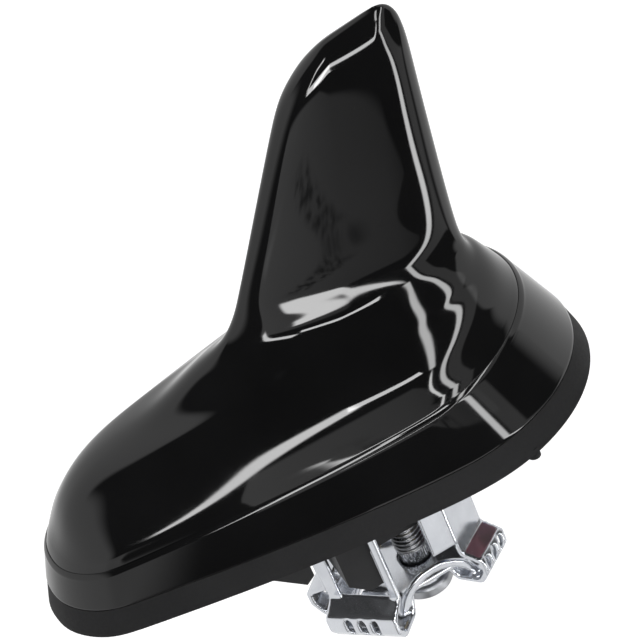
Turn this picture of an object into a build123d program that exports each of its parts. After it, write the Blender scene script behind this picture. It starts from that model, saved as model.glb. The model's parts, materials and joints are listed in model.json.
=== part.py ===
from build123d import *
import math
import os

# A roof aerial: nose towards -X, tail towards +X, z = 0 on the roof skin, x = 0 half way along the base.

# Base outline, seen from above
base_length = 130.0
base_width = 70.0

# Rubber gasket
gasket_height = 5.9
gasket_draft = 2.0
gasket_floor = 2.0
gasket_rim = 3.2
gasket_pip_radius = 1.4
gasket_pip_drop = 1.6
gasket_pip_x = 37.0
gasket_pip_inset = 3.0

# Cover: skirt, crease and the rings that lead from the crease up to the fin
cover_wall = 2.2
crease_ledge = 0.7
crease_nose_run = 5.5
crease_nose_z = 14.0
crease_tail_run = 10.5
crease_tail_z = 23.0
crease_side_run = 5.6
ring_points = 36
cavity_fin_rings = 4

# Hull rings on the way from the crease to the fin's foot, each as shares of that way: front run, front rise,
# rear run, rear rise, side run; then the share from hull to blade outline, and the taper towards the nose
hull_rings = [
    (0.050, 0.128, 0.171, 0.171, 0.081, 0.00, 0.54),
    (0.121, 0.334, 0.400, 0.407, 0.220, 0.00, 0.73),
    (0.286, 0.541, 0.629, 0.618, 0.459, 0.02, 0.67),
    (0.576, 0.649, 0.843, 0.724, 0.622, 0.48, 0.61),
    (0.777, 0.777, 0.943, 0.821, 0.789, 0.70, 0.53),
    (0.917, 0.865, 0.986, 0.911, 0.909, 0.93, 0.48),
]
# Fin rings from the foot up: front x and rear x from the foot's rear end, half width, taper towards the nose
fin_setback = 17.5
fin_rings = [
    (-51.4, 43.6, 0.0, 35.3, 8.5, 0.33),
    (-48.8, 47.3, 0.0, 38.8, 6.8, 0.28),
    (-42.6, 57.0, 1.3, 56.5, 5.8, 0.25),
    (-30.5, 76.0, 2.9, 74.5, 4.9, 0.25),
    (-24.0, 85.2, 3.8, 85.5, 3.8, 0.25),
    (-19.8, 88.2, 3.1, 89.6, 2.9, 0.25),
    (-16.4, 90.2, 1.8, 92.1, 1.7, 0.25),
]
# Outline shape: nose share, nose power, tail share, tail power
hull_shape = (0.101, 2.27, 0.30, 2.0)
blade_shape = (0.45, 2.1, 0.30, 2.1)
base_taper = 0.594
taper_power = 1.4

# Base plate and the spigot under it
plate_thickness = 3.0
plate_clearance = 0.4
spigot_front_x = -7.0
spigot_step_x = 0.4
spigot_half_width = 12.0
spigot_depth = 29.5
spigot_chamfer = 4.0
tower_rear_x = 19.7
tower_half_width = 7.0
tower_depth = 24.0
neck_half_width = 3.4
shelf_front_x = 31.0
shelf_length = 12.0
shelf_half_width = 12.4
shelf_depth = 7.0
wedge_inner_y = 8.0
wedge_front_x = -22.5
wedge_front_depth = 11.5
wedge_tip_x = -15.0
wedge_depth = 18.7
wedge_rear_x = -12.8
wedge_rear_depth = 17.3
spigot_play = 0.5

# Circuit boards and what they carry
board_thickness = 1.6
board_gap = 4.0
board_front_x = -36.0
board_rear_x = 31.0
board_front_half = 12.5
board_rear_half = 20.0
tongue_rear_x = 44.0
tongue_half = 11.0
post_radius = 3.0
post_front = (-32.6, 8.4)
post_rear = (26.5, 15.5)
board_screw_radius = 1.2
board_screw_head_radius = 2.3
board_screw_head_height = 1.6
board_screw_length = 6.0
screw_grip = 0.25
patch_size = 25.0
patch_height = 4.0
patch_x = -16.0
patch_chamfer = 1.0
patch_pin_radius = 0.6
patch_pin_offset = 2.0
patch_pin_head_radius = 1.2
patch_pin_head_height = 0.3
can_length = 24.0
can_width = 11.0
can_height = 3.6
can_wall = 0.3
can_front_x = 0.0
can_near_y = 5.0
fin_board_thickness = 1.0
fin_board_front_x = 4.0
fin_board_rear_x = 43.0
fin_board_step_z = 36.0
fin_board_top_z = 70.0
fin_board_top_front_x = 20.0
fin_board_top_rear_x = 45.0
clip_length = 5.0
clip_height = 4.5
clip_foot = 3.0
clip_sheet = 0.4
clip_xs = (8.0, 38.0)
board_slack = 0.05

# Cover screws and the bosses that take them
cover_boss_radius = 3.6
cover_boss_front = (-42.0, 8.5)
cover_boss_rear = (37.5, 18.0)
cover_boss_top_z = 40.0
cover_screw_radius = 1.5
cover_screw_head_radius = 2.9
cover_screw_head_height = 1.8
cover_screw_length = 11.0

# Coax connectors under the shelf
connector_x = 37.0
connector_spacing = 12.2
connector_side = 9.6
connector_depth = 13.5
connector_wall = 1.2
connector_mouth = 11.0
connector_rib = 1.4
shell_radius = 2.6
shell_wall = 0.5
shell_reach = 8.0
contact_radius = 0.5
contact_recess = 0.8

# Clamp bolt and threaded insert
bolt_x = 11.7
bolt_radius = 3.9
bolt_top_z = -17.0
bolt_neck_radius = 5.0
bolt_flange_radius = 6.5
bolt_flange_z = -43.6
bolt_flange_height = 2.9
bolt_socket_across = 6.0
bolt_socket_depth = 5.0
bolt_waist_radius = 3.2
collar_radius = 3.8
collar_height = 3.8
collar_play = 0.05
insert_radius = 6.0
insert_length = 13.0
thread_clearance = 0.06
bolt_well_top_z = -9.0

# Stamped clamp bracket
sheet = 1.4
hub_z = -38.5
hub_front_x = 1.0
hub_rear_x = 22.4
hub_half_width = 9.5
hub_hole_clearance = 0.5
arch_radius = 10.5
arch_band = 2.0
arch_top_z = -34.0
foot_z = -43.0
foot_half = 3.0
arm_run = 2.4
bend_radius = 0.9
roll_width = 5.0
claw_gap = 2.4
roll_top_z = -36.6
jog_z = -34.6
claw_bend_z = -13.0
claw_top_z = -6.5
claw_flare = 3.5
front_claw_angle = 225.0
front_claw_reach = 16.5
front_claw_span = (-2.9, 14.5)
front_slot_span = (-0.9, 11.2)
front_slot_bottom_z = -34.0
rear_claw_angle = -53.0
rear_claw_reach = 13.0
rear_claw_span = (-9.8, 1.2)
rear_flange_length = 5.8
rear_flange_bottom_z = -31.0
foot_slot_width = 1.5
foot_slot_pitch = 3.2
foot_slot_count = 3


def width_share(s, shape, taper):
    """Half width at the share s of the length: a tapered hull with a rounded nose and a rounded tail."""
    nose, nose_power, tail, tail_power = shape
    run = 1 - tail
    side = 1 - taper * max(0.0, (run - s) / run) ** taper_power
    nose_cap = (1 - max(0.0, (nose - s) / nose) ** nose_power) ** (1 / nose_power)
    tail_cap = max(0.0, 1 - max(0.0, (s - run) / tail) ** tail_power) ** (1 / tail_power)
    return side * nose_cap * tail_cap


def ring(front_x, front_z, rear_x, rear_z, half_width, blend, taper):
    """Closed outline on the tilted plane through its front and rear points."""
    run = rear_x - front_x
    rise = rear_z - front_z
    length = math.hypot(run, rise)
    shape = [h + (b - h) * blend for h, b in zip(hull_shape, blade_shape)]
    points = []
    for i in range(ring_points):
        angle = 2 * math.pi * i / ring_points
        s = (1 - math.cos(angle)) / 2
        side = 1 if angle < math.pi else -1
        points.append((length * s, side * half_width * width_share(s, shape, taper)))
    plane = Plane(origin=(front_x, 0, front_z), x_dir=(run, 0, rise), z_dir=(-rise, 0, run))
    return plane * make_face(Spline(*points, periodic=True))


def base_ring(z, inset):
    """The base outline, moved inwards by inset, at the height z."""
    half_length = base_length / 2 - inset
    return ring(-half_length, z, half_length, z, base_width / 2 - inset, 0, base_taper)


crease_row = (crease_nose_run - base_length / 2, crease_nose_z,
              base_length / 2 - crease_tail_run, crease_tail_z, base_width / 2 - crease_side_run)
fin_rear_x = base_length / 2 - fin_setback


def crease_ring(inset):
    """The crease between skirt and upper body, moved inwards by inset within its tilted plane."""
    front_x, front_z, rear_x, rear_z, half_width = crease_row
    shift = inset * (rear_z - front_z) / (rear_x - front_x)
    return ring(front_x + inset, front_z + shift, rear_x - inset, rear_z - shift,
                half_width - inset, 0, base_taper)


def fin_row(row):
    """A fin ring at its place, with the blade outline."""
    front_run, front_z, rear_run, rear_z, half_width, taper = row
    return fin_rear_x + front_run, front_z, fin_rear_x + rear_run, rear_z, half_width, 1, taper


def hull_row(row):
    """A hull ring, each value its own share of the way from the crease to the fin's foot."""
    foot = fin_row(fin_rings[0])
    placed = [start + (end - start) * share for start, end, share in zip(crease_row, foot, row)]
    return *placed, *row[len(placed):]


def lowered(row, inset, drop):
    """A ring of the inner surface: drawn in on all sides and lowered."""
    front_x, front_z, rear_x, rear_z, half_width, blend, taper = row
    return ring(front_x + inset, front_z - drop, rear_x - inset, rear_z - drop,
                half_width - inset, blend, taper)


def block(x0, x1, y0, y1, z0, z1):
    """Box between two corners."""
    return Pos((x0 + x1) / 2, (y0 + y1) / 2, (z0 + z1) / 2) * Box(x1 - x0, y1 - y0, z1 - z0)


def rod(x, y, z0, z1, radius):
    """Upright cylinder between two heights."""
    return Pos(x, y, (z0 + z1) / 2) * Cylinder(radius, z1 - z0)


def both_sides(point):
    """A place on the near side and its mirror image."""
    return [(point[0], -point[1]), (point[0], point[1])]


plate_bottom_z = gasket_floor
plate_top_z = plate_bottom_z + plate_thickness
board_bottom_z = plate_top_z + board_gap
board_top_z = board_bottom_z + board_thickness
cover_screw_places = both_sides(cover_boss_front) + both_sides(cover_boss_rear)
board_screw_places = both_sides(post_front) + both_sides(post_rear)
connector_ys = (-connector_spacing / 2, connector_spacing / 2)


def make_cover():
    """Hollow cover: flared skirt, upper body and fin, with four screw bosses left standing inside."""
    skirt = loft([base_ring(gasket_height, gasket_draft), crease_ring(-crease_ledge)], ruled=True)
    hull_rows = [hull_row(row) for row in hull_rings]
    fin_rows = [fin_row(row) for row in fin_rings]
    upper = loft([crease_ring(0)] + [ring(*row) for row in hull_rows + fin_rows])
    hollow_rows = hull_rows[1:] + fin_rows[:cavity_fin_rings]
    hollow_rings = [lowered(row, cover_wall, cover_wall) for row in hollow_rows]
    hollow_base = base_ring(gasket_height - cover_wall, gasket_draft + cover_wall)
    hollow = loft([hollow_base, crease_ring(cover_wall)] + hollow_rings, ruled=True)
    for x, y in cover_screw_places:
        hollow -= rod(x, y, 0, cover_boss_top_z, cover_boss_radius)
    cover = skirt + upper - hollow
    for x, y in cover_screw_places:
        cover += rod(x, y, plate_top_z, gasket_height + cover_wall, cover_boss_radius)
        cover -= rod(x, y, plate_top_z, plate_bottom_z + cover_screw_length, cover_screw_radius - screw_grip)
    return cover


def spigot_cutout(grow, z0, z1):
    """Plan of everything that passes through the roof, grown by a clearance."""
    width = spigot_half_width + grow
    shapes = block(spigot_front_x - grow, spigot_step_x + grow, -width, width, z0, z1)
    tower = tower_half_width + grow
    shapes += block(spigot_step_x - grow, shelf_front_x + grow, -tower, tower, z0, z1)
    shelf = shelf_half_width + grow
    shapes += block(shelf_front_x - grow, shelf_front_x + shelf_length + grow, -shelf, shelf, z0, z1)
    for y in (-1, 1):
        low, high = sorted((y * (wedge_inner_y - grow), y * (spigot_half_width + grow)))
        shapes += block(wedge_front_x - grow, wedge_rear_x + grow, low, high, z0, z1)
    return shapes


def make_gasket():
    """Rubber tray: drafted band, thin floor with the spigot's opening, and a pip under each rear corner."""
    band = loft([base_ring(0, 0), base_ring(gasket_height, gasket_draft)], ruled=True)
    pocket = loft([base_ring(gasket_floor, gasket_draft + gasket_rim),
                   base_ring(gasket_height + gasket_floor, gasket_draft + gasket_rim)], ruled=True)
    opening = spigot_cutout(spigot_play, -gasket_floor, 2 * gasket_floor)
    gasket = band - pocket - opening
    pip_y = base_width / 2 - gasket_pip_inset
    for x, y in both_sides((gasket_pip_x, pip_y)):
        gasket += rod(x, y, -gasket_pip_drop, gasket_floor / 2, gasket_pip_radius)
    return gasket


def make_base_plate():
    """Moulded base plate with its spigot: front box, bolt tower, connector shelf and two front wedges."""
    inset = gasket_draft + gasket_rim + plate_clearance
    plate = loft([base_ring(plate_bottom_z, inset), base_ring(plate_top_z, inset)], ruled=True)
    front = block(spigot_front_x, spigot_step_x, -spigot_half_width, spigot_half_width,
                  -spigot_depth, plate_bottom_z)
    lower_front = front.edges().filter_by(Axis.Y).sort_by(Axis.Z)[:2].sort_by(Axis.X)[0]
    front = chamfer(lower_front, spigot_chamfer)
    tower = block(spigot_step_x, tower_rear_x, -tower_half_width, tower_half_width,
                  -tower_depth, plate_bottom_z)
    neck = block(tower_rear_x, shelf_front_x, -neck_half_width, neck_half_width,
                 -shelf_depth, plate_bottom_z)
    shelf = block(shelf_front_x, shelf_front_x + shelf_length, -shelf_half_width, shelf_half_width,
                  -shelf_depth, plate_bottom_z)
    plate += front + tower + neck + shelf
    corners = [(wedge_front_x, plate_bottom_z), (wedge_front_x, -wedge_front_depth),
               (wedge_tip_x, -wedge_depth), (wedge_rear_x, -wedge_rear_depth), (wedge_rear_x, plate_bottom_z)]
    side = make_face(Polyline(*corners, close=True))
    wedge = extrude(Plane.XZ * side, spigot_half_width - wedge_inner_y)
    plate += Pos(0, -wedge_inner_y, 0) * wedge + Pos(0, spigot_half_width, 0) * wedge
    for x, y in board_screw_places:
        plate += rod(x, y, plate_top_z, board_bottom_z, post_radius)
        hole_bottom = board_top_z - board_screw_length
        plate -= rod(x, y, hole_bottom, board_bottom_z, board_screw_radius - screw_grip)
    for x, y in cover_screw_places:
        plate -= rod(x, y, plate_bottom_z, plate_top_z, cover_screw_radius + plate_clearance)
        plate -= rod(x, y, plate_bottom_z, plate_bottom_z + cover_screw_head_height,
                     cover_screw_head_radius + plate_clearance)
    plate -= rod(bolt_x, 0, -tower_depth, insert_length - tower_depth, insert_radius)
    plate -= rod(bolt_x, 0, -tower_depth, bolt_well_top_z, bolt_radius + plate_clearance)
    for y in connector_ys:
        plate -= rod(connector_x, y, -shelf_depth, plate_top_z, shell_radius)
    return plate


def make_main_board():
    """Tapered circuit board on four posts of the base plate, with a tongue over the connectors."""
    far_half = [(board_front_x, board_front_half), (board_rear_x, board_rear_half),
                (board_rear_x, tongue_half), (tongue_rear_x, tongue_half)]
    near_half = [(x, -y) for x, y in reversed(far_half)]
    outline = make_face(Polyline(*far_half, *near_half, close=True))
    board = Pos(0, 0, board_bottom_z) * extrude(outline, board_thickness)
    for x, y in board_screw_places:
        board -= rod(x, y, board_bottom_z, board_top_z, board_screw_radius + screw_grip)
    return board


def make_fin_board():
    """Upright aerial board that follows the fin, standing on the main board."""
    corners = [(fin_board_front_x, board_top_z), (fin_board_rear_x, board_top_z),
               (fin_board_rear_x, fin_board_step_z), (fin_board_top_rear_x, fin_board_top_z),
               (fin_board_top_front_x, fin_board_top_z), (fin_board_front_x, fin_board_step_z)]
    outline = make_face(Polyline(*corners, close=True))
    return Pos(0, fin_board_thickness / 2, 0) * extrude(Plane.XZ * outline, fin_board_thickness)


def make_clips():
    """Two pairs of angle clips that hold the fin board on the main board."""
    clips = []
    inner = fin_board_thickness / 2 + board_slack
    for x in clip_xs:
        x0, x1 = x - clip_length / 2, x + clip_length / 2
        for side in (-1, 1):
            near, far = sorted((side * inner, side * (inner + clip_sheet)))
            upright = block(x0, x1, near, far, board_top_z, board_top_z + clip_height)
            near, far = sorted((side * inner, side * (inner + clip_foot)))
            foot = block(x0, x1, near, far, board_top_z, board_top_z + clip_sheet)
            clips.append(upright + foot)
    return Compound(children=[clip.solid() for clip in clips])


def make_patch():
    """Square ceramic patch with its feed hole."""
    half = patch_size / 2
    patch = block(patch_x - half, patch_x + half, -half, half, board_top_z, board_top_z + patch_height)
    upright = patch.edges().filter_by(Axis.Z)
    patch = chamfer(upright, patch_chamfer)
    pin_x = patch_x + patch_pin_offset
    return patch - rod(pin_x, 0, board_top_z, board_top_z + patch_height, patch_pin_radius)


def make_patch_pin():
    """Feed pin with a flat head on the patch."""
    top = board_top_z + patch_height
    pin_x = patch_x + patch_pin_offset
    shank = rod(pin_x, 0, board_top_z, top, patch_pin_radius)
    return shank + rod(pin_x, 0, top, top + patch_pin_head_height, patch_pin_head_radius)


def make_can():
    """Shield can: a thin lid with four walls, open towards the board."""
    x1 = can_front_x + can_length
    y1 = can_near_y + can_width
    can = block(can_front_x, x1, can_near_y, y1, board_top_z, board_top_z + can_height)
    return can - block(can_front_x + can_wall, x1 - can_wall, can_near_y + can_wall, y1 - can_wall,
                       board_top_z, board_top_z + can_height - can_wall)


def screw(x, y, seat_z, up, head_radius, head_height, radius, length):
    """Pan-head screw: head on one side of its seat, shank on the other."""
    head = rod(x, y, *sorted((seat_z, seat_z + up * head_height)), head_radius)
    shank = rod(x, y, *sorted((seat_z, seat_z - up * length)), radius)
    return (head + shank).solid()


def make_board_screws():
    """Four screws down through the main board into the posts."""
    return Compound(children=[screw(x, y, board_top_z, 1, board_screw_head_radius, board_screw_head_height,
                                    board_screw_radius - screw_grip, board_screw_length)
                              for x, y in board_screw_places])


def make_cover_screws():
    """Four screws up through the base plate into the cover's bosses."""
    seat = plate_bottom_z + cover_screw_head_height
    shank_length = cover_screw_length - cover_screw_head_height
    return Compound(children=[screw(x, y, seat, -1, cover_screw_head_radius, cover_screw_head_height,
                                    cover_screw_radius - screw_grip, shank_length)
                              for x, y in cover_screw_places])


def make_housing(y):
    """Square connector housing with a blind mouth and two coding ribs, hung under the shelf."""
    half = connector_side / 2
    top = -shelf_depth
    bottom = top - connector_depth
    body = block(connector_x - half, connector_x + half, y - half, y + half, bottom, top)
    body = fillet(body.edges().filter_by(Axis.Z), connector_wall)
    body -= rod(connector_x, y, bottom, bottom + connector_mouth, half - connector_wall)
    rib_x0 = connector_x + half - connector_rib
    rib_x1 = connector_x + half + connector_rib / 2
    for side in (-1, 1):
        near, far = sorted((y + side * half, y + side * (half - connector_rib)))
        body += block(rib_x0, rib_x1, near, far, bottom, top)
    return body - rod(connector_x, y, bottom, top, shell_radius)


def make_shell(y):
    """Outer contact: a tube from the main board down into the housing's mouth."""
    bottom = shell_reach - shelf_depth - connector_depth
    tube = rod(connector_x, y, bottom, board_bottom_z, shell_radius)
    return tube - rod(connector_x, y, bottom, board_bottom_z, shell_radius - shell_wall)


def make_insulator(y):
    """Insulating sleeve between the outer contact and the pin."""
    sleeve = rod(connector_x, y, -shelf_depth, board_bottom_z, shell_radius - shell_wall)
    return sleeve - rod(connector_x, y, -shelf_depth, board_bottom_z, contact_radius)


def make_contact(y):
    """Centre pin of a connector, from the main board down to inside the outer contact's end."""
    bottom = shell_reach + contact_recess - shelf_depth - connector_depth
    return rod(connector_x, y, bottom, board_bottom_z, contact_radius)


def make_insert():
    """Threaded insert at the foot of the bolt tower."""
    body = rod(bolt_x, 0, -tower_depth, insert_length - tower_depth, insert_radius)
    return body - rod(bolt_x, 0, -tower_depth, insert_length - tower_depth, bolt_radius + thread_clearance)


collar_bottom_z = hub_z + sheet / 2
collar_top_z = collar_bottom_z + collar_height


def make_bolt():
    """Clamp bolt: thread, waist for the collar, neck, and a round head with a hexagon socket from below."""
    bolt = rod(bolt_x, 0, collar_top_z, bolt_top_z, bolt_radius)
    bolt += rod(bolt_x, 0, hub_z - sheet / 2, collar_top_z, bolt_waist_radius)
    bolt += rod(bolt_x, 0, bolt_flange_z, hub_z - sheet / 2, bolt_neck_radius)
    bolt += rod(bolt_x, 0, bolt_flange_z - bolt_flange_height, bolt_flange_z, bolt_flange_radius)
    socket = RegularPolygon(bolt_socket_across / 2, 6, major_radius=False)
    head_bottom = bolt_flange_z - bolt_flange_height
    return bolt - Pos(bolt_x, 0, head_bottom) * extrude(socket, bolt_socket_depth)


def make_collar():
    """Knurled collar that keeps the bolt in the bracket."""
    collar = rod(bolt_x, 0, collar_bottom_z, collar_top_z, collar_radius)
    return collar - rod(bolt_x, 0, collar_bottom_z, collar_top_z, bolt_waist_radius + collar_play)


def claw_strip(reach):
    """Bent strip of one arm, reach along x and height along y: hub, foot, bulged roll, claw, flared tip."""
    heel = reach - foot_half
    toe = reach + foot_half
    path = FilletPolyline((0, hub_z), (heel - arm_run, hub_z), (heel, foot_z), (toe, foot_z),
                          (reach + roll_width, foot_z + foot_half), (reach + roll_width, roll_top_z),
                          (reach, jog_z), (reach, claw_bend_z), (reach + claw_flare, claw_top_z),
                          radius=bend_radius)
    return trace(path, line_width=sheet)


def claw(angle, reach, span):
    """One arm with its claw, and the frame it is drawn in: reach, height, and span across the strip."""
    turn = math.radians(angle)
    frame = Plane(origin=(bolt_x, 0, 0), x_dir=(math.cos(turn), math.sin(turn), 0),
                  z_dir=(math.sin(turn), -math.cos(turn), 0))
    arm = Pos(0, 0, span[0]) * extrude(claw_strip(reach), span[1] - span[0])
    middle = (span[0] + span[1]) / 2
    for i in range(foot_slot_count):
        t = middle + (i - (foot_slot_count - 1) / 2) * foot_slot_pitch
        arm -= block(reach + foot_half, reach + roll_width + sheet, foot_z + sheet, roll_top_z,
                     t - foot_slot_width / 2, t + foot_slot_width / 2)
    return frame, arm


def make_bracket():
    """Stamped clamp bracket: hub with arched edges and four claws on bulged, slotted feet."""
    frame, arm = claw(front_claw_angle, front_claw_reach, front_claw_span)
    arm -= block(front_claw_reach - sheet, front_claw_reach + claw_flare + sheet,
                 front_slot_bottom_z, 0, *front_slot_span)
    near = frame * arm
    frame, arm = claw(rear_claw_angle, rear_claw_reach, rear_claw_span)
    near += frame * arm
    edge = frame * Pos(rear_claw_reach, 0, rear_claw_span[1])
    corner = edge.position
    near += block(corner.X - rear_flange_length, corner.X, corner.Y - sheet / 2, corner.Y + sheet / 2,
                  rear_flange_bottom_z, claw_bend_z)
    near &= block(-base_length, base_length, -base_width, -claw_gap / 2, 2 * foot_z, 0)
    arch_z = arch_top_z - arch_radius
    band = Circle(arch_radius) - Circle(arch_radius - arch_band)
    band &= Pos(0, arch_radius / 2) * Rectangle(2 * arch_radius, arch_radius)
    near += Pos(bolt_x, -hub_half_width, arch_z) * extrude(Plane.XZ * band, sheet)
    hub = block(hub_front_x, hub_rear_x, -hub_half_width, hub_half_width,
                hub_z - sheet / 2, hub_z + sheet / 2)
    bracket = near + mirror(near, about=Plane.XZ) + hub
    return bracket - rod(bolt_x, 0, hub_z - sheet, hub_z + sheet, bolt_waist_radius + hub_hole_clearance)


nodes = {
    "fin_cover": make_cover(),
    "base_gasket": make_gasket(),
    "base_plate": make_base_plate(),
    "main_board": make_main_board(),
    "fin_board": make_fin_board(),
    "fin_board_clips": make_clips(),
    "patch_antenna": make_patch(),
    "patch_feed_pin": make_patch_pin(),
    "shield_can": make_can(),
    "board_screws": make_board_screws(),
    "cover_screws": make_cover_screws(),
    "phone_connector_housing": make_housing(connector_ys[0]),
    "phone_connector_shell": make_shell(connector_ys[0]),
    "phone_connector_insulator": make_insulator(connector_ys[0]),
    "phone_connector_pin": make_contact(connector_ys[0]),
    "navigation_connector_housing": make_housing(connector_ys[1]),
    "navigation_connector_shell": make_shell(connector_ys[1]),
    "navigation_connector_insulator": make_insulator(connector_ys[1]),
    "navigation_connector_pin": make_contact(connector_ys[1]),
    "threaded_insert": make_insert(),
    "clamp_bracket": make_bracket(),
    "clamp_bolt": make_bolt(),
    "bolt_collar": make_collar(),
}

os.makedirs("parts", exist_ok=True)
for name, shape in nodes.items():
    export_step(shape, f"parts/{name}.step")
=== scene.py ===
"""Roof aerial with a shark fin cover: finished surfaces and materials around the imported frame."""
import json

import bmesh
import bpy
import numpy as np
from mathutils import Matrix


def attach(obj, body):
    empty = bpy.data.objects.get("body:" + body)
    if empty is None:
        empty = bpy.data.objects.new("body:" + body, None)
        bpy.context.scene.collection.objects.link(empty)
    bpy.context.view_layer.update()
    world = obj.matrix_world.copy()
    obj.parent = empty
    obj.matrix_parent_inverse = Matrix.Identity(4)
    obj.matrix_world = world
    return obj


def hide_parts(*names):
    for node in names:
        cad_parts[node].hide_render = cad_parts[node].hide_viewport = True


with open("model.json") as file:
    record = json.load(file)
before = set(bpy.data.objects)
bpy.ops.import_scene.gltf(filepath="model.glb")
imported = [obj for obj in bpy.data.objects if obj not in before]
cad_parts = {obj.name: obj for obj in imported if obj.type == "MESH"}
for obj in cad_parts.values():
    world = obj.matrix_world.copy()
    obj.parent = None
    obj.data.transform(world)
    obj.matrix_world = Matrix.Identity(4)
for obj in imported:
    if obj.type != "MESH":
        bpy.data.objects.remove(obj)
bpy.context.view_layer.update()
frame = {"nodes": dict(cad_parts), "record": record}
nodes = frame["nodes"]
MM = 0.001
weld_gap = 0.0002 * MM
sliver_gap = 0.00001 * MM
solid_weld_gap = 0.001 * MM


# Grids and pieces
def ring_faces(rows, columns, close_rows=False):
    """Quads of a grid whose columns run round and whose rows may run round too."""
    last = rows if close_rows else rows - 1
    r, c = np.meshgrid(np.arange(last), np.arange(columns), indexing="ij")
    r2, c2 = (r + 1) % rows, (c + 1) % columns
    quads = [r * columns + c, r * columns + c2, r2 * columns + c2, r2 * columns + c]
    return np.stack(quads, -1).reshape(-1, 4)


def sheet_faces(rows, columns):
    """Quads of an open grid."""
    r, c = np.meshgrid(np.arange(rows - 1), np.arange(columns - 1), indexing="ij")
    corner = r * columns + c
    return np.stack([corner, corner + columns, corner + columns + 1, corner + 1], -1).reshape(-1, 4)


def linked(name, data):
    """A new object at the origin, in the scene."""
    thing = bpy.data.objects.new(name, data)
    bpy.context.scene.collection.objects.link(thing)
    return thing


def add_piece(name, mesh, body, replaced):
    """A piece that rides on a body and stands for a solid, which it hides."""
    piece = linked(name, mesh)
    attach(piece, body)
    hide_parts(replaced)
    return piece


def grid_piece(name, points, body, replaced, close_rows=False):
    """A piece from a grid of points in millimetres whose columns run round, merged at its poles."""
    rows, columns = points.shape[:2]
    faces = ring_faces(rows, columns, close_rows)
    mesh = bpy.data.meshes.new(name)
    mesh.from_pydata((points.reshape(-1, 3) * MM).tolist(), [], faces.tolist())
    work = bmesh.new()
    work.from_mesh(mesh)
    bmesh.ops.remove_doubles(work, verts=work.verts, dist=weld_gap)
    bmesh.ops.dissolve_degenerate(work, edges=work.edges, dist=sliver_gap)
    bmesh.ops.recalc_face_normals(work, faces=work.faces)
    work.to_mesh(mesh)
    work.free()
    mesh.shade_smooth()
    return add_piece(name, mesh, body, replaced)


def between(row_a, row_b, shares):
    """Rows on the straight way from one row to another."""
    t = np.asarray(shares, float)[:, None]
    return np.asarray(row_a) * (1 - t) + np.asarray(row_b) * t


# Cover, in millimetres
gasket_height = 5.9
gasket_draft = 2.0
cover_wall = 2.2
rim_radius = 0.45
# A ring of the cover: front x and z, rear x and z, half width, share of the way from hull to blade, taper
base_row = (-65.0, 0.0, 65.0, 0.0, 35.0, 0.0, 0.594)
crease_row = (-59.5, 14.0, 54.5, 23.0, 29.4, 0.0, 0.594)
upper_rows = [
    (-56.7, 17.8, 53.3, 25.1, 27.7, 0.00, 0.54),
    (-52.8, 23.9, 51.7, 28.0, 25.0, 0.00, 0.65),
    (-43.6, 30.0, 50.1, 30.6, 19.8, 0.04, 0.67),
    (-27.5, 33.2, 48.6, 31.9, 16.4, 0.48, 0.61),
    (-16.3, 37.0, 47.9, 33.1, 12.9, 0.70, 0.53),
    (-8.5, 39.6, 47.6, 34.2, 10.4, 0.93, 0.48),
    (-3.9, 43.6, 47.5, 35.3, 8.5, 1.00, 0.33),
    (-1.3, 47.3, 47.5, 38.8, 6.8, 1.00, 0.28),
    (4.9, 57.0, 48.8, 56.5, 5.9, 1.00, 0.25),
    (17.0, 76.0, 50.4, 74.5, 5.3, 0.80, 0.22),
    (22.4, 83.4, 51.2, 83.9, 4.9, 0.60, 0.18),
    (25.6, 86.2, 51.2, 87.2, 4.3, 0.50, 0.15),
    (28.7, 88.3, 50.9, 89.3, 3.5, 0.45, 0.12),
    (31.6, 89.8, 50.0, 91.1, 2.4, 0.45, 0.10),
    (34.0, 90.8, 48.6, 92.1, 1.3, 0.45, 0.10),
]
crown_row = (36.0, 91.4, 46.8, 92.6, 0.0, 0.45, 0.10)
# Rings of the upper body that the hollow follows
hollow_rows = slice(1, 10)
# Crease from the skirt's top edge to the upper body, as inset and lift from its ring: a band and a groove
crease_steps = [
    (-1.24, -1.46), (-1.19, -1.27), (-1.13, -1.13), (-1.04, -1.01), (-0.95, -0.89), (-0.85, -0.78),
    (-0.75, -0.67), (-0.64, -0.56), (-0.53, -0.46), (-0.42, -0.36), (-0.30, -0.27), (-0.27, -0.29),
    (-0.25, -0.38), (-0.21, -0.38), (-0.18, -0.30), (-0.13, -0.16), (-0.05, 0.02),
]
# Form of the outlines, on hull and blade: length shares of nose and tail, and how square they end
hull_nose, blade_nose = 0.1007, 0.45
hull_nose_power, blade_nose_power = 2.27, 2.1
hull_tail_power, blade_tail_power = 2.0, 2.1
tail_share = 0.3005
taper_power = 1.4
# How finely the cover is divided; the upper body's first rings are left to the crease
cover_columns = 256
rim_count = 7
skirt_count = 26
upper_count = 190
upper_start = 4


def smooth_rows(table, count):
    """Natural cubic spline through the rows of a table; its parameter grows with the root of each step."""
    v = np.asarray(table, float)
    step = np.sqrt(np.sqrt((np.diff(v[:, :5], axis=0) ** 2).sum(1)))
    knots = np.concatenate([[0], np.cumsum(step)])
    size = len(v)
    system = np.eye(size)
    right = np.zeros_like(v)
    i = np.arange(1, size - 1)
    system[i, i - 1] = step[:-1]
    system[i, i] = 2 * (step[:-1] + step[1:])
    system[i, i + 1] = step[1:]
    slope = np.diff(v, axis=0) / step[:, None]
    right[1:-1] = 6 * np.diff(slope, axis=0)
    bend = np.linalg.solve(system, right)
    t = np.linspace(0, knots[-1], count)
    k = np.clip(np.searchsorted(knots, t, side="right") - 1, 0, size - 2)
    h, a, b = step[k, None], (knots[k + 1] - t)[:, None], (t - knots[k])[:, None]
    cubic = (bend[k] * a ** 3 + bend[k + 1] * b ** 3) / (6 * h)
    return cubic + (v[k] / h - bend[k] * h / 6) * a + (v[k + 1] / h - bend[k + 1] * h / 6) * b


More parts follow.
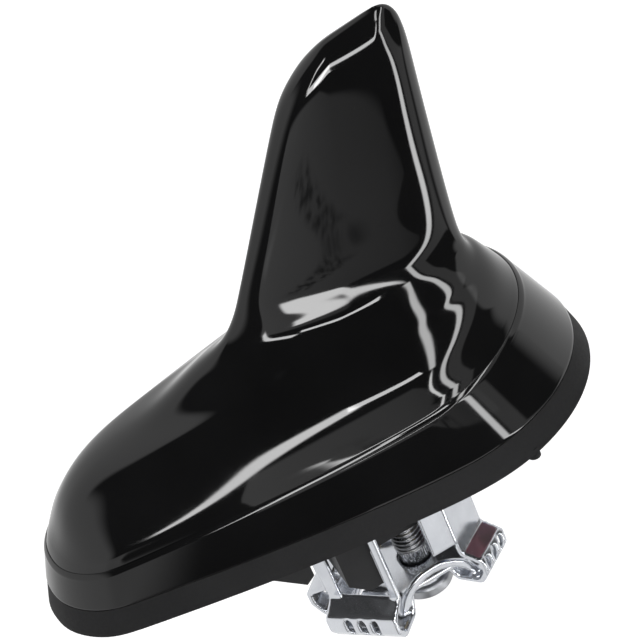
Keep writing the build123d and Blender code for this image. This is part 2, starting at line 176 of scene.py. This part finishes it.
def outline_rings(rows, columns):
    """One closed outline per row on the tilted line from front to rear: half width times a taper towards the
    nose, a rounded nose and a rounded tail, over the share s = (1 - cos angle) / 2 of the length."""
    angle = 2 * np.pi * np.arange(columns) / columns
    s = ((1 - np.cos(angle)) / 2)[None, :]
    side = np.where(angle < np.pi, 1.0, -1.0)[None, :]
    front_x, front_z, rear_x, rear_z, half, blend, taper = [c[:, None] for c in np.asarray(rows, float).T]
    nose = hull_nose + (blade_nose - hull_nose) * blend
    nose_power = hull_nose_power + (blade_nose_power - hull_nose_power) * blend
    tail_power = hull_tail_power + (blade_tail_power - hull_tail_power) * blend
    run = 1 - tail_share
    flank = 1 - taper * np.maximum(0, (run - s) / run) ** taper_power
    nose_cap = (1 - np.clip((nose - s) / nose, 0, 1) ** nose_power) ** (1 / nose_power)
    tail_cap = np.clip(1 - np.clip((s - run) / tail_share, 0, 1) ** tail_power, 0, 1) ** (1 / tail_power)
    x = front_x + (rear_x - front_x) * s
    y = side * half * flank * nose_cap * tail_cap
    z = front_z + (rear_z - front_z) * s
    return np.stack(np.broadcast_arrays(x, y, z), -1)


def drawn_in(row, inset, lift=0.0):
    """A ring drawn in by inset within its own tilted plane, and lifted."""
    front_x, front_z, rear_x, rear_z, half, blend, taper = row
    shift = inset * (rear_z - front_z) / (rear_x - front_x)
    front = (front_x + inset, front_z + shift + lift)
    rear = (rear_x - inset, rear_z - shift + lift)
    return (*front, *rear, half - inset, blend, taper)


def make_cover():
    """Cover as one closed surface: inner top, inner wall, rounded lower rim, flared skirt, rounded ledge at
    the crease, then the smooth upper body up to the crown of the fin."""
    inner = [drawn_in(row, cover_wall, -cover_wall) for row in upper_rows[hollow_rows]]
    inner_top = (*inner[-1][:4], 0.0, *inner[-1][5:])
    inner_crease = drawn_in(crease_row, cover_wall, -cover_wall)
    inner_base = drawn_in(base_row, gasket_draft + cover_wall, gasket_height)
    turn = np.linspace(0, np.pi / 2, rim_count)
    rim_insets = gasket_draft + rim_radius * (1 - np.sin(turn))
    rim_lifts = gasket_height + rim_radius * (1 - np.cos(turn))
    rim = [drawn_in(base_row, inset, lift) for inset, lift in zip(rim_insets, rim_lifts)]
    crease = [drawn_in(crease_row, inset, lift) for inset, lift in crease_steps]
    skirt = between(rim[-1], crease[0], np.linspace(0, 1, skirt_count)[1:-1])
    upper = smooth_rows([crease_row] + upper_rows + [crown_row], upper_count)[upper_start:]
    inside = [inner_top] + inner[::-1] + [inner_crease, inner_base]
    rows = np.concatenate([inside, rim, skirt, crease, upper])
    points = outline_rings(rows, cover_columns)
    return grid_piece("cover_shell", points, "root", "fin_cover")


cover = make_cover()

# Bolt and collar, in millimetres
bolt_x = 11.7
bolt_top, tip_radius = -17.0, 3.0
thread_top, thread_foot, thread_radius = -17.9, -33.9, 3.9
thread_pitch = 1.25
thread_depth = 0.55
thread_runout = 0.2
thread_flank, thread_crest = 1.6, 0.3
waist_top, waist_radius = -34.0, 3.2
neck_top, neck_radius = -39.2, 5.0
head_top, head_bottom, head_radius, head_edge = -43.6, -46.5, 6.5, 0.4
socket_floor, socket_radius, socket_edge = -41.5, 3.3, 0.3
socket_across, socket_corner = 6.0, 3.4
bolt_columns = 144
collar_top, collar_bottom = -34.0, -37.8
collar_bore, collar_radius, collar_edge = 3.25, 3.8, 0.3
rib_count, rib_depth, rib_margin = 36, 0.28, 1.0
collar_columns = 288


def turned(z, radius, angle):
    """Points at a radius about the bolt's axis."""
    x, y = bolt_x + radius * np.cos(angle), radius * np.sin(angle)
    return np.stack(np.broadcast_arrays(x, y, z), -1)


def make_bolt():
    """Clamp bolt: a helical thread whose radius swings with height and turn, waist, neck and a round head
    with rounded edges; from below, a hexagon socket whose radius follows the six flats."""
    shank = [(bolt_top, 0.0), (bolt_top, tip_radius),
             (thread_top, thread_radius), (thread_foot, thread_radius),
             (waist_top, waist_radius), (neck_top, waist_radius),
             (neck_top, neck_radius), (head_top, neck_radius)]
    head = [(head_top, head_radius - head_edge), (head_top - head_edge, head_radius),
            (head_bottom + head_edge, head_radius), (head_bottom, head_radius - head_edge)]
    socket = [(head_bottom, socket_radius + socket_edge), (head_bottom + socket_edge, socket_radius),
              (socket_floor, socket_radius), (socket_floor, 0.0)]
    corners = np.array(shank + head + socket)
    steps = np.array([6, 4, 150, 1, 6, 1, 6, 4, 4, 5, 4, 6, 3, 8, 6])
    rows = [between(corners[i], corners[i + 1], np.arange(n) / n) for i, n in enumerate(steps)]
    profile = np.concatenate(rows + [corners[-1:]])
    first_socket_row = steps[:len(shank + head)].sum()
    angle = (2 * np.pi * np.arange(bolt_columns) / bolt_columns)[None, :]
    z, radius = profile[:, :1], profile[:, 1:]
    phase = (z / thread_pitch - angle / (2 * np.pi)) % 1
    on_thread = (z < thread_top) & (z > thread_foot + thread_runout)
    groove = np.clip(thread_flank * np.abs(2 * phase - 1) - thread_crest, 0, 1)
    radius = radius - on_thread * thread_depth * groove
    flats = socket_across / 2 / np.cos((angle + np.pi / 6) % (np.pi / 3) - np.pi / 6)
    in_socket = np.arange(len(profile))[:, None] > first_socket_row
    radius = np.where(in_socket, radius / socket_radius * np.minimum(flats, socket_corner), radius)
    return grid_piece("clamp_bolt_turned", turned(z, radius, angle), "bolt", "clamp_bolt")


def make_collar():
    """Knurled collar: a closed tube with eased ends whose outer radius rises and falls in straight ribs."""
    shoulder = collar_radius - collar_edge
    section = np.array([
        (collar_bottom, collar_bore), (collar_bottom, shoulder), (collar_bottom + collar_edge, collar_radius),
        (collar_bottom + rib_margin, collar_radius), (collar_top - rib_margin, collar_radius),
        (collar_top - collar_edge, collar_radius), (collar_top, shoulder), (collar_top, collar_bore)])
    angle = (2 * np.pi * np.arange(collar_columns) / collar_columns)[None, :]
    z, radius = section[:, :1], section[:, 1:]
    radius = radius - rib_depth * np.abs(np.sin(rib_count / 2 * angle)) * (radius > shoulder)
    points = turned(z, radius, angle)
    return grid_piece("bolt_collar_knurled", points, "bolt", "bolt_collar", True)


bolt = make_bolt()
collar = make_collar()

# Clamp bracket: how finely its sheet is divided, in millimetres, and how often its bends are eased
sheet_grid = 0.34
bend_passes = 14
bend_ease = 0.5


def make_bracket():
    """A merged copy of the bracket's solid, divided into a fine even grid and eased, so that its bends and
    edges run round as those of pressed sheet do."""
    name = "clamp_bracket_stamped"
    mesh = nodes["clamp_bracket"].data.copy()
    mesh.name = name
    work = bmesh.new()
    work.from_mesh(mesh)
    bmesh.ops.remove_doubles(work, verts=work.verts, dist=solid_weld_gap)
    work.to_mesh(mesh)
    work.free()
    piece = add_piece(name, mesh, "clamp", "clamp_bracket")
    divide = piece.modifiers.new("divide", "REMESH")
    divide.mode = "VOXEL"
    divide.voxel_size = sheet_grid * MM
    divide.use_smooth_shade = True
    ease = piece.modifiers.new("ease", "SMOOTH")
    ease.factor = bend_ease
    ease.iterations = bend_passes
    return piece


bracket = make_bracket()


# Node helpers
def link_value(tree, source, target):
    """Joins an output socket to an input socket, or sets a plain number on it."""
    if isinstance(source, bpy.types.NodeSocket):
        tree.links.new(source, target)
    else:
        target.default_value = source


def figure(tree, operation, a, b=0.0):
    """Output of a Math node."""
    node = tree.nodes.new("ShaderNodeMath")
    node.operation = operation
    link_value(tree, a, node.inputs[0])
    link_value(tree, b, node.inputs[1])
    return node.outputs[0]


def product(tree, first, *others):
    """Product of sockets and plain numbers."""
    for other in others:
        first = figure(tree, "MULTIPLY", first, other)
    return first


def total(tree, first, *others):
    """Sum of sockets and plain numbers."""
    for other in others:
        first = figure(tree, "ADD", first, other)
    return first


def less(tree, a, b):
    """The first value less the second."""
    return figure(tree, "SUBTRACT", a, b)


def excess(tree, a, b):
    """How far the first value stands above the second, or zero."""
    return figure(tree, "MAXIMUM", less(tree, a, b), 0.0)


def spread(tree, value, low, high, out_low, out_high, kind="LINEAR"):
    """Output of a Map Range node, held within its ends."""
    node = tree.nodes.new("ShaderNodeMapRange")
    node.interpolation_type = kind
    for socket, number in zip(node.inputs, (value, low, high, out_low, out_high)):
        link_value(tree, number, socket)
    return node.outputs["Result"]


def eased(tree, value, low, high, out_low=0.0, out_high=1.0):
    """A smooth step between two values."""
    return spread(tree, value, low, high, out_low, out_high, "SMOOTHSTEP")


def band(tree, value, low, high, soft):
    """One between two limits, falling smoothly to zero over soft on both sides."""
    rise = eased(tree, value, low - soft, low + soft)
    fall = eased(tree, value, high - soft, high + soft, 1.0, 0.0)
    return product(tree, rise, fall)


# Finishes: the two colours and two roughnesses that a cloudy mask runs between, scales per metre, and grain
cloud_scale, cloud_detail, cloud_share = 60.0, 4.0, 0.6
grain_scale, grain_detail, grain_share = 900.0, 2.0, 0.4
mask_ends = (0.35, 0.65)
grain_depth = 0.05 * MM
finish_values = {
    "cover_black": dict(low=(0.0035, 0.0035, 0.0037), high=(0.0055, 0.0055, 0.0058), rough=(0.035, 0.06),
                        cloud=45.0, grain=500.0, bump=0.01),
    "gasket_rubber": dict(low=(0.01, 0.01, 0.0105), high=(0.016, 0.016, 0.0165), rough=(0.6, 0.8),
                          grain=1600.0, bump=0.35, sheen=0.22),
    "moulded_black": dict(low=(0.018, 0.018, 0.019), high=(0.027, 0.027, 0.028), rough=(0.42, 0.6),
                          grain=1400.0, bump=0.25, sheen=0.22),
    "board_green": dict(low=(0.02, 0.12, 0.05), high=(0.04, 0.19, 0.09), rough=(0.3, 0.45)),
    "patch_ceramic": dict(low=(0.57, 0.51, 0.42), high=(0.66, 0.6, 0.5), rough=(0.4, 0.6), bump=0.2),
    "tinned_sheet": dict(low=(0.56, 0.57, 0.58), high=(0.68, 0.69, 0.7), rough=(0.2, 0.35), metallic=1.0),
    "screw_steel": dict(low=(0.42, 0.42, 0.43), high=(0.56, 0.56, 0.57), rough=(0.25, 0.4), metallic=1.0),
    "connector_red": dict(low=(0.18, 0.012, 0.035), high=(0.25, 0.025, 0.06), rough=(0.35, 0.5), bump=0.2),
    "connector_blue": dict(low=(0.02, 0.07, 0.3), high=(0.04, 0.11, 0.4), rough=(0.35, 0.5), bump=0.2),
    "insulator_white": dict(low=(0.74, 0.74, 0.72), high=(0.84, 0.84, 0.82), rough=(0.35, 0.5)),
    "contact_brass": dict(low=(0.65, 0.47, 0.2), high=(0.78, 0.6, 0.3), rough=(0.2, 0.35), metallic=1.0),
    "bright_zinc": dict(low=(0.62, 0.64, 0.68), high=(0.72, 0.74, 0.78), rough=(0.14, 0.22), metallic=0.92,
                        cloud=90.0, grain=700.0, bump=0.03),
    # bolt_zinc is the bracket's zinc made darker: the darker colour is painted shade for the bolt's threads,
    # which sit in shade, and the collar takes it too
    "bolt_zinc": dict(low=(0.26, 0.265, 0.28), high=(0.42, 0.43, 0.45), rough=(0.25, 0.42), metallic=1.0,
                      cloud=220.0, grain=1500.0, bump=0.15),
}


def make_grain_group():
    """Group that gives a broad cloudy mask and a fine grain over the surface, from object coordinates."""
    tree = bpy.data.node_groups.new("surface_grain", "ShaderNodeTree")
    for name, default in (("Cloud Scale", cloud_scale), ("Grain Scale", grain_scale)):
        socket = tree.interface.new_socket(name, in_out="INPUT", socket_type="NodeSocketFloat")
        socket.default_value = default
    for name in ("Cloud", "Grain"):
        tree.interface.new_socket(name, in_out="OUTPUT", socket_type="NodeSocketFloat")
    source = tree.nodes.new("NodeGroupInput")
    target = tree.nodes.new("NodeGroupOutput")
    place = tree.nodes.new("ShaderNodeTexCoord")
    for name, detail in (("Cloud", cloud_detail), ("Grain", grain_detail)):
        noise = tree.nodes.new("ShaderNodeTexNoise")
        noise.inputs["Detail"].default_value = detail
        tree.links.new(place.outputs["Object"], noise.inputs["Vector"])
        tree.links.new(source.outputs[f"{name} Scale"], noise.inputs["Scale"])
        tree.links.new(noise.outputs["Fac"], target.inputs[name])
    return tree


grain_group = make_grain_group()


def tint(tree, mask, low, high):
    """Output of a Color Ramp between two colours."""
    ramp = tree.nodes.new("ShaderNodeValToRGB")
    for element, colour, at in zip(ramp.color_ramp.elements, (low, high), mask_ends):
        element.position = at
        element.color = (*colour, 1)
    link_value(tree, mask, ramp.inputs["Fac"])
    return ramp.outputs["Color"]


def finish_material(name, low, high, rough, metallic=0.0, cloud=cloud_scale, grain=grain_scale, bump=0.1,
                    sheen=0.5):
    """A finish with cloudy colour and roughness between two limits, and a fine grain as bump."""
    material = bpy.data.materials.new(name)
    material.use_nodes = True
    tree = material.node_tree
    shader = tree.nodes["Principled BSDF"]
    shader.inputs["Metallic"].default_value = metallic
    shader.inputs["Specular IOR Level"].default_value = sheen
    group = tree.nodes.new("ShaderNodeGroup")
    group.node_tree = grain_group
    group.inputs["Cloud Scale"].default_value = cloud
    group.inputs["Grain Scale"].default_value = grain
    tree.links.new(tint(tree, group.outputs["Cloud"], low, high), shader.inputs["Base Color"])
    cloudy = product(tree, group.outputs["Cloud"], cloud_share)
    grainy = product(tree, group.outputs["Grain"], grain_share)
    mask = total(tree, cloudy, grainy)
    tree.links.new(spread(tree, mask, *mask_ends, *rough), shader.inputs["Roughness"])
    raised = tree.nodes.new("ShaderNodeBump")
    raised.inputs["Strength"].default_value = bump
    raised.inputs["Distance"].default_value = grain_depth
    tree.links.new(group.outputs["Grain"], raised.inputs["Height"])
    tree.links.new(raised.outputs["Normal"], shader.inputs["Normal"])
    return material


finishes = {name: finish_material(name, **values) for name, values in finish_values.items()}
dressed = [(nodes[part["node"]], part["material_slot"]) for part in frame["record"]["subparts"]]
dressed += [(cover, "cover_black"), (bolt, "bolt_zinc"), (collar, "bolt_zinc"), (bracket, "bright_zinc")]
for piece, slot in dressed:
    piece.data.materials.clear()
    piece.data.materials.append(finishes[slot])

# Camera: on the near side, a little towards the nose and above, and rolled about its own axis
camera_turn, camera_rise, camera_roll = np.radians([-10.918, 36.0, 23.171])
camera_target = np.array([12.683, 0.0, 32.614]) * MM
camera_distance = 480 * MM
focal_pixels, image_pixels = 2301.412, 640
sensor_width = 36.0


def set_axes(thing, across, upward, back, place):
    """Turns a camera or lamp to three axes and puts it in its place."""
    matrix = np.eye(4)
    matrix[:3] = np.stack([across, upward, back, place], -1)
    thing.matrix_world = Matrix(matrix.tolist())


def make_camera():
    """Camera at a distance along its back axis from a target, rolled about that axis."""
    level = np.cos(camera_rise)
    back = np.array([np.sin(camera_turn) * level, -np.cos(camera_turn) * level, np.sin(camera_rise)])
    right = np.array([np.cos(camera_turn), np.sin(camera_turn), 0])
    up = np.cross(back, right)
    across = right * np.cos(camera_roll) - up * np.sin(camera_roll)
    upward = right * np.sin(camera_roll) + up * np.cos(camera_roll)
    data = bpy.data.cameras.new("camera")
    data.sensor_width = sensor_width
    data.lens = focal_pixels / image_pixels * sensor_width
    data.clip_start = 10 * MM
    camera = linked("camera", data)
    set_axes(camera, across, upward, back, camera_target + camera_distance * back)
    bpy.context.scene.camera = camera


make_camera()

# Studio surround, as directions from the aerial. Side is the part of a direction along x, from nose to tail.
# Height is an angle in degrees: 0 is the near horizon, 90 is overhead. A band is low, high and soft edge.
pale_light, dark_light = 0.9, 0.05
strip_light, post_light, screen_light = 13.0, 10.0, 0.55
ambient_light, background_light = 0.5, 1.0
dark_heights = (-68, 100, 6)
dark_nose_edge = (-0.84, -0.64)
dark_tail_heights, dark_tail_sides, dark_tail_edge = (58, 88), (0.95, 0.72), (-0.02, 0.04)
low_nose_edge, low_nose_light, low_nose_heights = (-0.46, -0.38), 0.8, (-75, -14, 2)
post_sides, post_heights = (0.285, 0.34, 0.012), (46, 86, 2)
bend_height, bend_slope = 20.0, 0.0033
upright_sides, screen_sides, upright_heights = (0.335, 0.39, 0.01), (0.42, 0.56, 0.015), (-60, 92, 4)
low_strip_sides, low_strip_heights = (-0.24, 0.30, 0.02), (4.5, 11.5, 1.0)
low_rise_side, low_rise_slope, low_bow_side, low_bow = -0.1, 14.0, 0.13, 900.0
high_strip_sides, high_strip_heights = (-0.42, -0.12, 0.01), (47, 55, 1.2)
high_run_side, high_run_slope, high_sag_side, high_sag = -0.12, 70.0, -0.28, 900.0


def dark_field(tree, side, height):
    """Dark near side: a band of heights that ends at the nose, at the tail, and low down before the nose."""
    tail_limit = spread(tree, height, *dark_tail_heights, *dark_tail_sides)
    tail_end = eased(tree, less(tree, side, tail_limit), *dark_tail_edge, 1.0, 0.0)
    nose_end = eased(tree, side, *dark_nose_edge)
    low_side = eased(tree, side, *low_nose_edge, low_nose_light, 0.0)
    low_nose = product(tree, low_side, band(tree, height, *low_nose_heights))
    ends = product(tree, tail_end, nose_end, less(tree, 1.0, low_nose))
    return product(tree, band(tree, height, *dark_heights), ends)


def upright_lights(tree, side, height):
    """Light of a short post, of a tall strip bent about its middle height, and of a dim screen beside it."""
    post = product(tree, band(tree, side, *post_sides), band(tree, height, *post_heights))
    away = figure(tree, "ABSOLUTE", less(tree, height, bend_height))
    bent = less(tree, side, product(tree, away, bend_slope))
    tall = band(tree, height, *upright_heights)
    upright = product(tree, band(tree, bent, *upright_sides), tall)
    screen = product(tree, band(tree, bent, *screen_sides), tall)
    posts = product(tree, total(tree, post, upright), post_light)
    return total(tree, posts, product(tree, screen, screen_light))


def level_strips(tree, side, height):
    """Light of a low strip that climbs to the tail, and of a high strip that sags to the nose: straight
    slopes, with the square of the way past a second place added."""
    bow = figure(tree, "POWER", excess(tree, side, low_bow_side), 2.0)
    rise = product(tree, excess(tree, side, low_rise_side), low_rise_slope)
    above = less(tree, less(tree, height, rise), product(tree, bow, low_bow))
    low = product(tree, band(tree, above, *low_strip_heights), band(tree, side, *low_strip_sides))
    run = product(tree, excess(tree, high_run_side, side), high_run_slope)
    end = figure(tree, "POWER", excess(tree, high_sag_side, side), 2.0)
    lifted = total(tree, height, total(tree, run, product(tree, end, high_sag)))
    high = product(tree, band(tree, lifted, *high_strip_heights), band(tree, side, *high_strip_sides))
    return product(tree, total(tree, low, high), strip_light)


def make_world():
    """Surround that is white to the camera and even to matt surfaces; mirror-like ones see it pale, with a
    dark near side and bright strips in it."""
    world = bpy.data.worlds.new("studio")
    bpy.context.scene.world = world
    world.use_nodes = True
    tree = world.node_tree
    ground = tree.nodes["Background"]
    ground.inputs["Color"].default_value = (1, 1, 1, 1)
    place = tree.nodes.new("ShaderNodeTexCoord")
    split = tree.nodes.new("ShaderNodeSeparateXYZ")
    tree.links.new(place.outputs["Generated"], split.inputs[0])
    side = split.outputs["X"]
    toward = product(tree, split.outputs["Y"], -1.0)
    height = product(tree, figure(tree, "ARCTAN2", split.outputs["Z"], toward), 180 / np.pi)
    shade = spread(tree, dark_field(tree, side, height), 0.0, 1.0, pale_light, dark_light)
    reflected = total(tree, shade, level_strips(tree, side, height), upright_lights(tree, side, height))
    path = tree.nodes.new("ShaderNodeLightPath")
    direct = figure(tree, "MAXIMUM", path.outputs["Is Camera Ray"], path.outputs["Is Transmission Ray"])
    plain = spread(tree, direct, 0.0, 1.0, ambient_light, background_light)
    mix = tree.nodes.new("ShaderNodeMix")
    link_value(tree, path.outputs["Is Glossy Ray"], mix.inputs["Factor"])
    link_value(tree, plain, mix.inputs["A"])
    link_value(tree, reflected, mix.inputs["B"])
    tree.links.new(mix.outputs["Result"], ground.inputs["Strength"])


make_world()

# Floor, in metres: half its side, its depth below the roof skin, and how fast its edges rise
floor_reach = 2.0
floor_z = -0.8
floor_dish = 0.02
floor_count = 25
floor_colour, floor_rough, floor_white = (0.9, 0.9, 0.9, 1), 0.9, 0.6


def stage_sheet(name, points):
    """A staged open grid of points in metres, with a new material, and that material's nodes."""
    rows, columns = points.shape[:2]
    mesh = bpy.data.meshes.new(name)
    mesh.from_pydata(points.reshape(-1, 3).tolist(), [], sheet_faces(rows, columns).tolist())
    mesh.shade_smooth()
    sheet = linked(name, mesh)
    material = bpy.data.materials.new(name)
    material.use_nodes = True
    mesh.materials.append(material)
    return sheet, material.node_tree


def add_shaders(tree, first, second):
    """Gives a material the sum of two shaders."""
    both = tree.nodes.new("ShaderNodeAddShader")
    tree.links.new(first.outputs[0], both.inputs[0])
    tree.links.new(second.outputs[0], both.inputs[1])
    tree.links.new(both.outputs[0], tree.nodes["Material Output"].inputs["Surface"])


def make_floor():
    """Pale floor well below the aerial, gently dished so that it has no edge in view: its height grows with
    the square of the way from its middle. It is white to the camera and keeps the aerial's soft shadow."""
    span = np.linspace(-floor_reach, floor_reach, floor_count)
    x, y = np.meshgrid(span, span, indexing="ij")
    z = floor_z + floor_dish * (x ** 2 + y ** 2)
    floor, tree = stage_sheet("floor", np.stack([x, y, z], -1))
    floor.visible_glossy = False
    shader = tree.nodes["Principled BSDF"]
    shader.inputs["Base Color"].default_value = floor_colour
    shader.inputs["Roughness"].default_value = floor_rough
    white = tree.nodes.new("ShaderNodeEmission")
    path = tree.nodes.new("ShaderNodeLightPath")
    tree.links.new(product(tree, path.outputs["Is Camera Ray"], floor_white), white.inputs["Strength"])
    add_shaders(tree, shader, white)


make_floor()

# Light cards beside the near side, in millimetres: ends along x and z, their distance, and their grids
strip_card_x, strip_card_z, strip_card_y, strip_card_grid = (42, -6), (89, 107), -80.0, (25, 3)
face_card_x, face_card_z, face_card_y, face_card_grid = (-46, 84), (-6, 74), -94.0, (27, 17)
face_fade = (0.85, 0.12)
cut_x, cut_slope, cut_low_z, cut_high_z = 25, 1.2, 64, 73
streak_x, streak_z, streak_across = -12, 50, (0.76, 0.65)
streak_inner, streak_outer, streak_fade_z, streak_top_z = 3, 9, 36, 46
mottle_scale, mottle_detail = 190.0, 5.0
mottle_ends, mottle_depths = (0.38, 0.58), (0.85, 0.1)


def make_card(name, x_ends, z_ends, y, grid, strength):
    """Upright light card that only mirror-like surfaces see; strength gives its light over the card."""
    x, z = np.meshgrid(np.linspace(*x_ends, grid[0]), np.linspace(*z_ends, grid[1]), indexing="ij")
    card, tree = stage_sheet(name, np.stack([x, np.full_like(x, y), z], -1) * MM)
    card.visible_camera = False
    card.visible_diffuse = False
    card.visible_shadow = False
    card.visible_transmission = False
    light = tree.nodes.new("ShaderNodeEmission")
    place = tree.nodes.new("ShaderNodeTexCoord").outputs["Object"]
    link_value(tree, strength(tree, place), light.inputs["Strength"])
    add_shaders(tree, light, tree.nodes.new("ShaderNodeBsdfTransparent"))


def strip_strength(tree, place):
    """The even light of the level strip beside the near shoulder and the fin's top."""
    return strip_light


def face_strength(tree, place):
    """Light of the card beside the fin: brighter towards the nose, with an oblique cut at its top and a
    mottled dim streak across it."""
    split = tree.nodes.new("ShaderNodeSeparateXYZ")
    tree.links.new(place, split.inputs[0])
    x, z = split.outputs["X"], split.outputs["Z"]
    fade = spread(tree, x, face_card_x[0] * MM, face_card_x[1] * MM, *face_fade)
    cut = total(tree, z, product(tree, excess(tree, x, cut_x * MM), cut_slope))
    below = eased(tree, cut, cut_low_z * MM, cut_high_z * MM, 1.0, 0.0)
    across_x = product(tree, less(tree, x, streak_x * MM), streak_across[0])
    across_z = product(tree, less(tree, z, streak_z * MM), streak_across[1])
    across = figure(tree, "ABSOLUTE", total(tree, across_x, across_z))
    body = eased(tree, across, streak_inner * MM, streak_outer * MM, 1.0, 0.0)
    streak = product(tree, body, eased(tree, z, streak_fade_z * MM, streak_top_z * MM, 1.0, 0.0))
    mottle = tree.nodes.new("ShaderNodeTexNoise")
    mottle.inputs["Scale"].default_value = mottle_scale
    mottle.inputs["Detail"].default_value = mottle_detail
    tree.links.new(place, mottle.inputs["Vector"])
    # Painted reflection: a mottled streak where the card's light is dimmed, which the fin's glossy face
    # mirrors as a mottled dark streak
    mottled_dimming = product(tree, streak, spread(tree, mottle.outputs["Fac"], *mottle_ends, *mottle_depths))
    return product(tree, fade, below, less(tree, 1.0, mottled_dimming))


make_card("strip_card", strip_card_x, strip_card_z, strip_card_y, strip_card_grid, strip_strength)
make_card("face_card", face_card_x, face_card_z, face_card_y, face_card_grid, face_strength)


def make_lamp(name, place, aim, size, watts, glossy):
    """Square soft lamp, in metres, that faces a point; glossy says whether mirror-like surfaces show it."""
    data = bpy.data.lights.new(name, "AREA")
    data.size = size
    data.energy = watts
    lamp = linked(name, data)
    back = np.subtract(place, aim)
    back = back / np.linalg.norm(back)
    right = np.cross((0, 0, 1), back)
    right = right / np.linalg.norm(right)
    set_axes(lamp, right, np.cross(back, right), back, place)
    lamp.visible_camera = False
    lamp.visible_glossy = glossy


make_lamp("key", place=(-0.5, -0.7, 0.9), aim=(0, 0, 0), size=0.8, watts=6.0, glossy=False)
make_lamp("clamp_card", place=(0.03, -0.13, -0.13), aim=(0.012, 0, -0.035), size=0.12, watts=0.04,
          glossy=True)

bpy.context.scene.view_settings.view_transform = "Standard"
